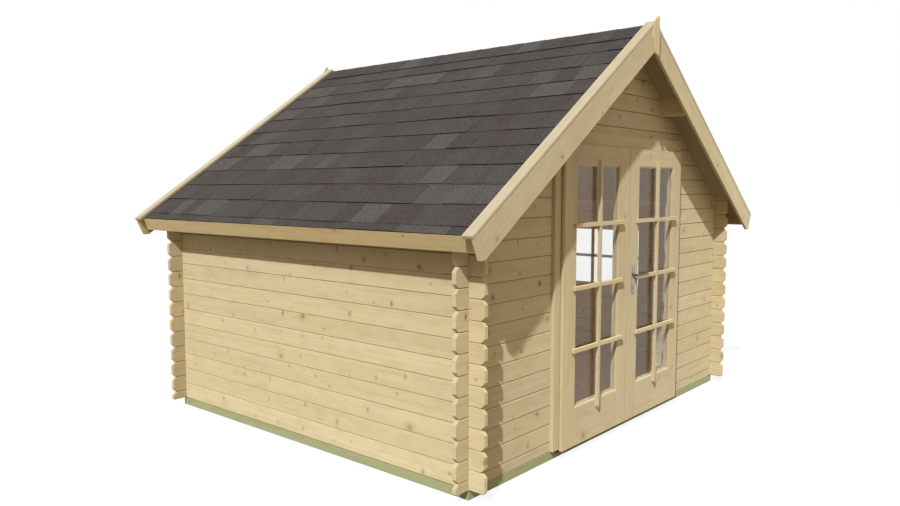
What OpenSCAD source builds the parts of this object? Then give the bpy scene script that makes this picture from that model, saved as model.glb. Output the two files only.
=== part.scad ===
// Log cabin with a double door, one side window and a shingled gable roof.
// Millimetres. X runs along the front, Y into the depth, Z up.
// The origin is on the ground, under the middle of the cabin.

/* [Walls] */
// Outside width of the log walls
cabin_w = 3300; // [2640:10:4200]
// Outside depth of the log walls
cabin_d = 2800; // [2300:10:3600]
// Height of one log, from joint to joint
log_pitch = 114; // [95:1:137]
// Thickness of the logs
log_t = 28; // [23:1:34]
// Full logs in the height of a side wall
side_logs = 13; // [13:1:15]
// Length of the log ends past the corner joints
stub = 105; // [60:5:160]
// Corner chamfer on each log end
stub_chamfer = 26; // [8:1:27]
// Depth of the V groove between two logs
groove = 4.5; // [1:0.5:5]

/* [Base and floor] */
// Height of the foundation beams
beam_h = 57; // [45:1:90]
// Width of the foundation beams
beam_w = 70; // [45:1:120]
// Width of a floor joist
joist_w = 45; // [30:1:80]
// Number of floor joists
joists = 5; // [3:1:7]
// Thickness of the floor boards
floor_t = 18; // [15:1:28]

/* [Roof] */
// Slope of the roof in degrees
pitch = 34.55; // [30:0.05:40]
// Thickness of the roof boards
board_t = 18; // [15:1:28]
// Thickness of the shingle layer
shingle_t = 5; // [3:1:8]
// Roof overhang past the side walls, to the fascia's face
eave = 200; // [150:5:260]
// Roof overhang past the front and rear walls, to the back of the barge boards
verge = 195; // [150:5:260]
// Height of the eave fascia
fascia_h = 86; // [60:1:120]
// Thickness of the fascia
fascia_t = 18; // [15:1:28]
// How far the fascias and the feet of the barge boards lean in from upright
eave_cut = 24.8; // [0:0.1:35]
// Width of a barge board, square to the slope
barge_h = 140; // [100:1:180]
// Thickness of a barge board
barge_t = 20; // [16:1:30]
// How far the barge boards run down past the fascia
barge_run = 28; // [10:1:60]
// Width of the cap strip on top of the barge board
cap_w = 72; // [40:1:120]
// Thickness of the cap strip
cap_t = 20; // [12:1:30]
// Reach of the ridge shingles on each slope
ridge_reach = 130; // [80:5:250]
// Thickness of the ridge shingles
ridge_t = 5; // [3:1:8]
// Width of a purlin
purlin_w = 60; // [44:1:90]
// Distance of the side purlins from the ridge line
purlin_x = 580; // [450:10:650]
// Rounding of the purlins' lower ends
purlin_round = 45; // [10:1:60]

/* [Finial] */
// Thickness of the finial
finial_t = 25; // [15:1:40]
// Half width of the finial where it is widest
finial_half = 60; // [40:1:80]
// Height of the finial's tip over the ridge
finial_up = 50; // [30:1:90]
// Depth of the finial's foot under the ridge
finial_down = 205; // [120:1:230]

/* [Door] */
// Clear width of the door frame
door_w = 1570; // [1300:10:1700]
// Height of the door frame's clear opening over the ground
door_top = 1888; // [1700:1:1900]
// How far the casing stands proud of the wall
casing_t = 25; // [15:1:30]
// Width of the casing's lap over the wall
casing_lap = 28; // [15:1:60]
// Width of the frame between the wall and the clear opening
frame_w = 60; // [40:1:80]
// Height of the head frame over the clear opening
head_h = 84; // [40:1:120]
// Height of the threshold over the foundation
sill_h = 20; // [15:1:30]
// Overlap of the leaves over the casing
leaf_lap = 27; // [15:1:40]
// Running gap round the leaves
gap = 6; // [5:0.5:10]
// Thickness of the leaf's outer layer, which laps over the casing
leaf_skin = 21; // [20:1:30]
// Thickness of the leaf's inner layer
leaf_core = 23; // [15:1:34]
// Bottom edge of the leaves over the ground
leaf_bottom = 45; // [30:1:52]
// Width of the door stiles
stile_w = 138; // [90:1:180]
// Height of the bottom rail
bottom_rail = 246; // [150:1:400]
// Height of the top rail
top_rail = 117; // [80:1:200]
// Thickness of the glass
glass_t = 4; // [3:1:8]
// Depth of the glass behind the leaf's face
glass_set = 11; // [4:1:16]

/* [Door fittings] */
// Diameter of the pivot pins
pin_d = 6; // [5:0.5:8]
// Distance of the pivot pins from the leaf's side edge
pin_in = 9; // [8:0.5:12]
// Height of the lever's spindle over the ground
lever_z = 1057; // [900:1:1200]
// Length of the lever from the spindle
lever_len = 128; // [100:1:150]
// Diameter of the lever
lever_d = 18; // [14:1:24]
// Distance from the plate to the lever's axis
lever_out = 45; // [35:1:60]
// Diameter of the spindle
spindle_d = 10; // [8:1:14]
// Width of the lock plate
plate_w = 40; // [30:1:55]
// Height of the lock plate
plate_h = 196; // [150:1:240]

/* [Window] */
// Distance of the window's middle from the front wall's face
window_y = 1173; // [950:1:1600]
// Height of the window's middle over the ground
window_z = 1011; // [950:1:1060]
// Width of the window's glass
glass_w = 986; // [700:2:1100]
// Height of the window's glass
glass_h = 504; // [400:2:600]
// Width of the window's sash
sash_w = 45; // [30:1:60]
// Thickness of the window's sash
sash_t = 40; // [30:1:60]

/* [Hidden] */
$fn = 48;

pine = [0.87, 0.77, 0.58];
pine_dark = [0.80, 0.68, 0.47];
pressure_green = [0.60, 0.63, 0.42];
shingle_grey = [0.27, 0.25, 0.24];
steel = [0.62, 0.63, 0.65];
glass_tint = [0.55, 0.58, 0.58, 0.5];

half_w = cabin_w / 2;
half_d = cabin_d / 2;
slope = tan(pitch);
lean = 1 / cos(pitch);
quarter = log_pitch / 4;
side_top = beam_h + side_logs * log_pitch;
front_joint = beam_h + log_pitch / 2;

// Roof lines: height over the ground of the surface that lies h above the tops of the walls.
// Each layer lies a hair over the one that carries it, which is seat.
function roof_z(x, h = 0) = side_top + (half_w - abs(x)) * slope + h * lean;
cover_t = board_t + shingle_t;
eave_x = half_w + eave;
board_x = eave_x - fascia_t * cos(pitch) / cos(pitch - eave_cut);
verge_y = half_d + verge;
barge_y = verge_y + barge_t;
barge_x = eave_x + barge_run;
tall = 4 * half_w;
seat = 0.1;
purlin_foot = front_joint + log_pitch *
    floor((roof_z(purlin_x + purlin_w / 2) - 60 - front_joint) / log_pitch);
ridge_foot = front_joint + log_pitch * floor((roof_z(0) - 120 - front_joint) / log_pitch);

// Door places
clear_x = door_w / 2;
wall_cut_x = clear_x + frame_w;
casing_x = wall_cut_x + casing_lap;
casing_y = half_d + casing_t;
wall_cut_z = door_top + head_h;
over_door_top = front_joint + log_pitch * ceil((wall_cut_z + casing_lap - front_joint) / log_pitch);
leaf_x = clear_x + leaf_lap;
leaf_back_y = casing_y + gap;
leaf_front_y = leaf_back_y + leaf_skin;
leaf_inner_y = leaf_back_y - leaf_core;
leaf_top = door_top + leaf_lap;
sill_z = beam_h + sill_h;
meet = gap / 2;
core_set = 3;
corner_cut = 6;
pin_x = leaf_x - pin_in;
pin_y = leaf_front_y - 8.5;
pin_bite = 25;
pin_clear = 0.3;
plate_gap = 3;
pivot_t = 4;
pivot_w = 28;
lever_x = meet + 68;
plate_t = 4;
plate_down = 124;

// Window places
sash_y0 = -half_d + window_y - glass_w / 2 - sash_w;
sash_y1 = sash_y0 + glass_w + 2 * sash_w;
sash_z0 = window_z - glass_h / 2 - sash_w;
sash_z1 = sash_z0 + glass_h + 2 * sash_w;
window_jamb = 28;
cut_y0 = sash_y0 - window_jamb;
cut_y1 = sash_y1 + window_jamb;
cut_z0 = sash_z0 - window_jamb;
cut_z1 = sash_z1 + window_jamb;

// Extrudes a flat (x, z) shape from y0 to y1.
module along_y(y0, y1) {
    translate([0, y1, 0]) rotate([90, 0, 0]) linear_extrude(y1 - y0) children();
}

// Extrudes a flat (y, z) shape from x0 to x1.
module along_x(x0, x1) {
    translate([x0, 0, 0]) rotate([90, 0, 90]) linear_extrude(x1 - x0) children();
}

function reversed(list) = [for (i = [len(list) - 1:-1:0]) list[i]];

// Heights of the log joints between z0 and z1, for a wall whose first joint is at first.
function joints_between(z0, z1, first) =
    [for (k = [0:1:40]) let (z = first + k * log_pitch)
        if (z > z0 + groove && z < z1 - groove) z];

// Points of the V grooves on one face of a wall; inward is +1 or -1.
function groove_points(t, inward, joints) =
    [for (z = joints) for (p = [[t, z - groove], [t + inward * groove, z], [t, z + groove]]) p];

// Cross-section of a stack of logs: outer face at t = 0, inner face at t = log_t.
module log_section(z0, z1_outer, z1_inner, first) {
    js = joints_between(z0, z1_outer, first);
    polygon(concat(
        [[0, z0]], groove_points(0, 1, js), [[0, z1_outer], [log_t, z1_inner]],
        reversed(groove_points(log_t, -1, js)), [[log_t, z0]]));
}

// Points of one wall end whose logs are chamfered; outward is +1 or -1.
function end_points(u, outward, z0, z1, first) =
    concat(
        [[u - outward * stub_chamfer / 3, z0], [u, z0 + stub_chamfer / 3]],
        [for (z = joints_between(z0 + stub_chamfer, z1 - stub_chamfer, first))
            for (p = [[u, z - stub_chamfer], [u - outward * stub_chamfer, z],
                      [u, z + stub_chamfer]]) p],
        [[u, z1]]);

// Elevation of a wall with its log ends and its corner notches; reach is half its length.
module log_elevation(reach, z0, z1, first) {
    difference() {
        polygon(concat(
            end_points(-reach - stub, -1, z0, z1, first),
            reversed(end_points(reach + stub, 1, z0, z1, first))));
        for (side = [-1, 1], k = [-1:1:side_logs]) {
            z = first + k * log_pitch;
            translate([side < 0 ? -reach : reach - log_t, z - quarter]) square([log_t, 2 * quarter]);
        }
    }
}

// The space under the roof boards, as a flat (x, z) shape.
module under_roof() {
    polygon([[-half_w - 2 * stub, 0], [half_w + 2 * stub, 0],
             [half_w + 2 * stub, roof_z(half_w + 2 * stub)], [0, roof_z(0)],
             [-half_w - 2 * stub, roof_z(half_w + 2 * stub)]]);
}

// A side wall, or the part of it between y0..y1 and z0..z1; side is -1 on the left, 1 on the right.
module side_wall_part(side, y0, y1, z0, z1) {
    top_in = side_top + log_t * slope;
    mirror([side > 0 ? 1 : 0, 0, 0]) intersection() {
        translate([-half_w, 0, 0]) along_y(-half_d - 2 * stub, half_d + 2 * stub)
            log_section(beam_h, side_top, top_in, beam_h + log_pitch);
        along_x(-half_w - 1, -half_w + log_t + 1) intersection() {
            log_elevation(half_d, beam_h, top_in + 1, beam_h + log_pitch);
            translate([y0, z0]) square([y1 - y0, z1 - z0]);
        }
    }
}

// A front or rear wall part between x0..x1 and z0..z1; side is -1 at the front, 1 at the rear.
module end_wall_part(side, x0, x1, z0, z1, purlin_holes) {
    top = roof_z(0);
    mirror([0, side > 0 ? 1 : 0, 0]) intersection() {
        along_x(x0, x1) translate([-half_d, 0]) log_section(beam_h, top + 1, top + 1, front_joint);
        along_y(-half_d - 1, -half_d + log_t + 1) difference() {
            intersection() {
                log_elevation(half_w, beam_h, top + 2, front_joint);
                under_roof();
                translate([x0, z0]) square([x1 - x0, z1 - z0]);
            }
            if (purlin_holes) for (s = [-1, 0, 1]) purlin_section(s);
        }
    }
}

// Flat (x, z) section of a purlin; place is -1, 0 or 1 for left, ridge and right.
module purlin_section(place) {
    a = place * purlin_x - purlin_w / 2;
    b = a + purlin_w;
    foot = place == 0 ? ridge_foot : purlin_foot;
    polygon(concat([[a, foot], [b, foot], [b, roof_z(b)]],
        place == 0 ? [[0, roof_z(0)]] : [], [[a, roof_z(a)]]));
}

module purlin(place) {
    foot = place == 0 ? ridge_foot : purlin_foot;
    color(pine) intersection() {
        along_y(-verge_y, verge_y) purlin_section(place);
        along_x(-half_w, half_w) difference() {
            translate([-verge_y, foot]) square([2 * verge_y, tall]);
            for (s = [-1, 1]) translate([s * verge_y, foot]) difference() {
                square(2 * purlin_round, center = true);
                translate([-s * purlin_round, purlin_round]) circle(purlin_round, $fn = 64);
            }
        }
    }
}

// A layer of the roof between h0 and h1 over the boards' underside, from x0 to x1 of one slope.
module roof_layer(side, x0, x1, h0, h1) {
    polygon([[side * x0, roof_z(x0, h0)], [side * x1, roof_z(x1, h0)],
             [side * x1, roof_z(x1, h1)], [side * x0, roof_z(x0, h1)]]);
}

module roof_boards(side) {
    end_z = roof_z(board_x, board_t);
    through = (board_t - seat) / cos(pitch - eave_cut);
    color(pine) along_y(-verge_y, verge_y)
        polygon([[0, roof_z(0, seat)], [0, roof_z(0, board_t)], [side * board_x, end_z],
                 [side * (board_x - through * sin(eave_cut)), end_z - through * cos(eave_cut)]]);
}

module shingles(side) {
    color(shingle_grey) along_y(-verge_y, verge_y) roof_layer(side, 0, eave_x, board_t + seat, cover_t);
}

module ridge_shingles() {
    color(shingle_grey) along_y(-barge_y + cap_w, barge_y - cap_w) {
        roof_layer(-1, 0, ridge_reach, cover_t + seat, cover_t + ridge_t);
        roof_layer(1, 0, ridge_reach, cover_t + seat, cover_t + ridge_t);
    }
}

module fascia(side) {
    foot = [eave_x - fascia_h * tan(eave_cut), roof_z(eave_x, board_t) - fascia_h];
    color(pine) along_y(-verge_y, verge_y)
        polygon([[side * eave_x, roof_z(eave_x, board_t)], [side * foot[0], foot[1]],
                 [side * (foot[0] - fascia_t * cos(eave_cut)), foot[1] + fascia_t * sin(eave_cut)],
                 [side * board_x, roof_z(board_x, board_t)]]);
}

// A barge board: its lower end is cut steeply and its tip is clipped level.
module barge(side, place) {
    low = roof_z(barge_x, cover_t) - 108;
    back = barge_x - 108 * tan(eave_cut);
    lower_x = half_w + (side_top + (cover_t - barge_h) * lean - low) / slope;
    color(pine) mirror([0, place > 0 ? 1 : 0, 0]) along_y(-barge_y, -verge_y)
        polygon([[0, roof_z(0, cover_t)], [side * barge_x, roof_z(barge_x, cover_t)],
                 [side * back, low], [side * lower_x, low],
                 [0, roof_z(0, cover_t - barge_h)]]);
}

module cap(side, place) {
    tip_x = barge_x + cap_t * sin(pitch);
    color(pine) mirror([0, place > 0 ? 1 : 0, 0]) along_y(-barge_y, -barge_y + cap_w)
        polygon([[0, roof_z(0, cover_t + seat)], [side * barge_x, roof_z(barge_x, cover_t + seat)],
                 [side * tip_x, roof_z(tip_x, cover_t + cap_t)],
                 [0, roof_z(0, cover_t + cap_t)]]);
}

module finials() {
    ridge = roof_z(0, cover_t);
    outline = [[0, ridge + finial_up], [finial_half / 2, ridge + finial_up - 38],
               [finial_half, ridge - 86], [finial_half * 0.45, ridge - finial_down],
               [-finial_half * 0.45, ridge - finial_down], [-finial_half, ridge - 86],
               [-finial_half / 2, ridge + finial_up - 38]];
    color(pine) for (place = [0, 1]) mirror([0, place, 0])
        along_y(-barge_y - finial_t, -barge_y) polygon(outline);
}

module foundation_ends() {
    color(pressure_green) for (s = [-1, 1])
        translate([-half_w, s > 0 ? half_d - beam_w : -half_d, 0]) cube([cabin_w, beam_w, beam_h]);
}

module foundation_sides() {
    color(pressure_green) for (s = [-1, 1])
        translate([s > 0 ? half_w - beam_w : -half_w, -half_d + beam_w, 0])
            cube([beam_w, cabin_d - 2 * beam_w, beam_h]);
}

module floor_joists() {
    step = (cabin_w - 2 * beam_w) / (joists + 1);
    color(pressure_green) for (i = [1:joists])
        translate([-half_w + beam_w + i * step - joist_w / 2, -half_d + beam_w, 0])
            cube([joist_w, cabin_d - 2 * beam_w, beam_h]);
}

module floor_deck() {
    color(pine) difference() {
        translate([-half_w + log_t, -half_d + log_t, beam_h])
            cube([cabin_w - 2 * log_t, cabin_d - 2 * log_t, floor_t]);
        translate([-casing_x, -half_d, 0]) cube([2 * casing_x, log_t + casing_t, side_top]);
    }
}

module left_wall() {
    color(pine) side_wall_part(-1, -cabin_d, cabin_d, 0, tall);
}

module right_wall_front() {
    color(pine) side_wall_part(1, -cabin_d, cut_y0, 0, tall);
}

module right_wall_rear() {
    color(pine) side_wall_part(1, cut_y1, cabin_d, 0, tall);
}

module right_wall_below_window() {
    color(pine) side_wall_part(1, cut_y0, cut_y1, 0, cut_z0);
}

module right_wall_over_window() {
    color(pine) side_wall_part(1, cut_y0, cut_y1, cut_z1, tall);
}

module rear_wall() {
    color(pine_dark) end_wall_part(1, -cabin_w, cabin_w, 0, tall, true);
}

module front_wall_left() {
    color(pine_dark) end_wall_part(-1, -cabin_w, -wall_cut_x, 0, over_door_top, false);
}

module front_wall_right() {
    color(pine_dark) end_wall_part(-1, wall_cut_x, cabin_w, 0, over_door_top, false);
}

module front_wall_over_door() {
    color(pine_dark) end_wall_part(-1, -wall_cut_x, wall_cut_x, wall_cut_z, over_door_top, false);
}

module front_gable() {
    color(pine_dark) end_wall_part(-1, -cabin_w, cabin_w, over_door_top, tall, true);
}

// A jamb grips the wall's edge: casing outside, casing inside and the frame between them.
module door_jamb(side) {
    inner_y = half_d - log_t - casing_t;
    color(pine) translate([0, 0, beam_h]) linear_extrude(door_top - beam_h)
        polygon([[side * casing_x, -casing_y], [side * clear_x, -casing_y],
                 [side * clear_x, -inner_y], [side * casing_x, -inner_y],
                 [side * casing_x, -half_d + log_t], [side * wall_cut_x, -half_d + log_t],
                 [side * wall_cut_x, -half_d], [side * casing_x, -half_d]]);
}

module door_head() {
    inner_y = half_d - log_t - casing_t;
    top = wall_cut_z + casing_lap;
    color(pine) difference() {
        translate([-casing_x, -casing_y, door_top])
            cube([2 * casing_x, casing_y - inner_y, top - door_top]);
        translate([-casing_x - 1, -half_d, wall_cut_z]) cube([2 * casing_x + 2, log_t, tall]);
        for (s = [-1, 1]) translate([s > 0 ? wall_cut_x : -casing_x - 1, -half_d, 0])
            cube([casing_lap + 1, log_t, tall]);
    }
}

module door_threshold() {
    color(pine_dark) translate([-clear_x, -half_d, beam_h])
        cube([door_w, log_t + casing_t, sill_h]);
}

// Flat (x, z) outline of one door leaf's layer with the glazed opening cut out; side is -1 or 1.
module leaf_outline(side, x_out, x_in, z0, z1) {
    mirror([side > 0 ? 1 : 0, 0]) difference() {
        translate([-x_out, z0]) square([x_out - x_in, z1 - z0]);
        leaf_opening();
    }
}

module leaf_opening() {
    translate([-leaf_x + stile_w, leaf_bottom + bottom_rail])
        square([leaf_x - meet - 2 * stile_w, leaf_top - leaf_bottom - bottom_rail - top_rail]);
}

module door_leaf(side) {
    color(pine) difference() {
        union() {
            along_y(-leaf_front_y, -leaf_back_y)
                leaf_outline(side, leaf_x, meet, leaf_bottom, leaf_top);
            along_y(-leaf_back_y, -leaf_inner_y)
                leaf_outline(side, clear_x - gap, meet + core_set, sill_z + gap, door_top - gap);
        }
        // Back corner of the hinge side, cut so that it turns clear of the casing
        translate([side * leaf_x, -leaf_back_y, leaf_bottom - 1]) rotate([0, 0, 45])
            translate([-corner_cut / sqrt(2), -corner_cut / sqrt(2), 0])
                cube([corner_cut * sqrt(2), corner_cut * sqrt(2), leaf_top - leaf_bottom + 2]);
        for (z = [leaf_bottom - 1, leaf_top - pin_bite - 1])
            translate([side * pin_x, -pin_y, z])
                cylinder(d = pin_d + 2 * pin_clear, h = pin_bite + 2);
        if (side > 0) translate([lever_x, -leaf_inner_y + 1, lever_z]) rotate([90, 0, 0])
            cylinder(d = spindle_d + 2, h = leaf_skin + leaf_core + 2);
    }
}

module door_glass(side) {
    color(glass_tint) mirror([side > 0 ? 1 : 0, 0, 0])
        along_y(-leaf_front_y + glass_set, -leaf_front_y + glass_set + glass_t) leaf_opening();
}

// Pivot plates over and under each leaf, with a pin that stands in the leaf.
module pivot_plates() {
    reach = leaf_front_y - 2;
    color(steel) for (s = [-1, 1]) {
        translate([s * pin_x - pivot_w / 2, -reach, leaf_bottom - plate_gap - pivot_t])
            cube([pivot_w, reach - half_d, pivot_t]);
        translate([s * pin_x, -pin_y, leaf_bottom - plate_gap - pivot_t / 2])
            cylinder(d = pin_d, h = pivot_t / 2 + plate_gap + pin_bite - 3);
        translate([s * pin_x - pivot_w / 2, -reach, leaf_top + plate_gap])
            cube([pivot_w, reach - casing_y, pivot_t]);
        translate([s * pin_x, -pin_y, leaf_top - pin_bite + 3])
            cylinder(d = pin_d, h = pivot_t / 2 + plate_gap + pin_bite - 3);
    }
}

// Lock plates outside and inside, with a hole for the lever's spindle.
module lock_plates() {
    color(steel) for (face = [-leaf_front_y - plate_t, -leaf_inner_y])
        difference() {
            translate([lever_x - plate_w / 2, face, lever_z - plate_down])
                cube([plate_w, plate_t, plate_h]);
            translate([lever_x, face - 1, lever_z]) rotate([-90, 0, 0])
                cylinder(d = spindle_d + 2 * pin_clear, h = plate_t + 2);
        }
}

// The lever: spindle through the leaf, and a handle on each side.
module door_lever() {
    out_y = -leaf_front_y - plate_t - lever_out;
    in_y = -leaf_inner_y + plate_t + lever_out;
    color(steel) union() {
        translate([lever_x, out_y, lever_z]) rotate([-90, 0, 0])
            cylinder(d = spindle_d, h = in_y - out_y);
        for (y = [out_y, in_y]) {
            translate([lever_x - lever_d / 2, y, lever_z]) rotate([0, 90, 0])
                cylinder(d = lever_d, h = lever_len + lever_d / 2);
        }
    }
}

// A flat (y, z) ring between two rectangles, given as [y0, y1, z0, z1].
module ring(outer, inner) {
    difference() {
        translate([outer[0], outer[2]]) square([outer[1] - outer[0], outer[3] - outer[2]]);
        translate([inner[0], inner[2]]) square([inner[1] - inner[0], inner[3] - inner[2]]);
    }
}

module window_frame() {
    hole = [sash_y0, sash_y1, sash_z0, sash_z1];
    casing = [cut_y0 - casing_lap, cut_y1 + casing_lap, cut_z0 - casing_lap, cut_z1 + casing_lap];
    color(pine) union() {
        along_x(half_w, half_w + casing_t) ring(casing, hole);
        along_x(half_w - log_t, half_w) ring([cut_y0, cut_y1, cut_z0, cut_z1], hole);
        along_x(half_w - log_t - casing_t, half_w - log_t) ring(casing, hole);
    }
}

module window_sash() {
    mid = half_w - log_t / 2;
    color(pine) along_x(mid - sash_t / 2, mid + sash_t / 2)
        ring([sash_y0, sash_y1, sash_z0, sash_z1],
             [sash_y0 + sash_w, sash_y1 - sash_w, sash_z0 + sash_w, sash_z1 - sash_w]);
}

module window_glass() {
    mid = half_w - log_t / 2;
    color(glass_tint) along_x(mid - glass_t / 2, mid + glass_t / 2)
        translate([sash_y0 + sash_w, sash_z0 + sash_w]) square([glass_w, glass_h]);
}

foundation_ends();
foundation_sides();
floor_joists();
floor_deck();
left_wall();
right_wall_front();
right_wall_rear();
right_wall_below_window();
right_wall_over_window();
rear_wall();
front_wall_left();
front_wall_right();
front_wall_over_door();
front_gable();
purlin(-1);  // purlin_left
purlin(1);  // purlin_right
purlin(0);  // ridge_purlin
roof_boards(-1);  // roof_boards_left
roof_boards(1);  // roof_boards_right
shingles(-1);  // shingles_left
shingles(1);  // shingles_right
ridge_shingles();
barge(-1, -1);  // barge_front_left
barge(1, -1);  // barge_front_right
barge(-1, 1);  // barge_rear_left
barge(1, 1);  // barge_rear_right
cap(-1, -1);  // cap_front_left
cap(1, -1);  // cap_front_right
cap(-1, 1);  // cap_rear_left
cap(1, 1);  // cap_rear_right
finials();
fascia(-1);  // fascia_left
fascia(1);  // fascia_right
door_jamb(-1);  // door_jamb_left
door_jamb(1);  // door_jamb_right
door_head();
door_threshold();
pivot_plates();
door_leaf(-1);  // door_leaf_left
door_leaf(1);  // door_leaf_right
door_glass(-1);  // door_glass_left
door_glass(1);  // door_glass_right
lock_plates();
door_lever();
window_frame();
window_sash();
window_glass();
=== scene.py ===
"""Looks, light and camera of a log cabin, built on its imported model.

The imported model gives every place: a piece either stands on a node's own mesh, with its edges
eased, or is built from the node's box. Sizes are in metres and angles in degrees.
"""

import logging
import math
import random
from dataclasses import dataclass, field
from enum import Enum
from functools import lru_cache
from typing import Callable, Iterable, Optional, Sequence, Union

import bmesh
import bpy
from mathutils import Matrix, Vector


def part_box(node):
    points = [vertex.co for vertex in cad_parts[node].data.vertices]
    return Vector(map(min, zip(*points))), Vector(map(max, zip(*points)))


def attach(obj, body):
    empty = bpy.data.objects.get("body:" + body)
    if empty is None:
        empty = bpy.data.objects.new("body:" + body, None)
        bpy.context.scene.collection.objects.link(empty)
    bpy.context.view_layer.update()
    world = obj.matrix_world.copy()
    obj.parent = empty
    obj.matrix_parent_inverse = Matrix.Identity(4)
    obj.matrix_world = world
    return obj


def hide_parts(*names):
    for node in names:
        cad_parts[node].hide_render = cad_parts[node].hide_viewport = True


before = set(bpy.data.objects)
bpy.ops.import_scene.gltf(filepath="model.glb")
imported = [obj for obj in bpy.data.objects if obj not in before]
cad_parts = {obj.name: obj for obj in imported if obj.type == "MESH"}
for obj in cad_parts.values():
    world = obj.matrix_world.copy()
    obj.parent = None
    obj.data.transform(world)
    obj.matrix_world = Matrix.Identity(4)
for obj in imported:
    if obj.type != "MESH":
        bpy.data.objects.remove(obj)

LOG = logging.getLogger("cabin")
Number = Union[int, float]
Point = tuple[float, float, float]
Colour = tuple[float, float, float]
Span = tuple[float, float]
Object = bpy.types.Object
Material = bpy.types.Material
Socket = bpy.types.NodeSocket
Edge = bmesh.types.BMEdge
CABIN_BODY = "cabin"
SIDE_WORD = {-1: "left", 1: "right"}
WHITE = (1.0, 1.0, 1.0)
NEAR = 1e-5
HAIR = 0.0001
SQUARE_ONLY = 60.0


# ---- shader maths


def maths(operation: str, reflected: bool = False) -> Callable:
    """Makes a method of Value that adds a Math node.

    Args:
        operation: the Math node's operation.
        reflected: whether the value comes last, after a plain number.

    Returns:
        The method, which gives the node's result.
    """

    def method(value: "Value", *others: Union["Value", Number]) -> "Value":
        """Adds the node."""
        inputs = (*others, value) if reflected else (value, *others)
        made = value.bench.node("ShaderNodeMath", {"operation": operation}, dict(enumerate(inputs)))
        return Value(value.bench, made.outputs[0])

    return method


@dataclass
class Value:
    """A number that changes over a surface, from one output of a node: its operators add Math nodes."""

    bench: "ShaderBench"
    socket: Socket

    __add__ = maths("ADD")
    __radd__ = maths("ADD", True)
    __sub__ = maths("SUBTRACT")
    __rsub__ = maths("SUBTRACT", True)
    __mul__ = maths("MULTIPLY")
    __rmul__ = maths("MULTIPLY", True)
    __truediv__ = maths("DIVIDE")
    __pow__ = maths("POWER")
    floor = maths("FLOOR")
    part = maths("FRACT")
    size = maths("ABSOLUTE")
    root = maths("SQRT")
    over = maths("GREATER_THAN")

    def ramp(self, low: Number, high: Number) -> "Value":
        """A smooth rise from 0 at low to 1 at high; low may be the larger of the two."""
        made = self.bench.node(
            "ShaderNodeMapRange",
            {"interpolation_type": "SMOOTHSTEP", "clamp": True},
            {"Value": self, "From Min": low, "From Max": high, "To Min": 0.0, "To Max": 1.0},
        )
        return Value(self.bench, made.outputs["Result"])


Link = Union[Value, Socket, Number, Sequence[float]]


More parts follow.
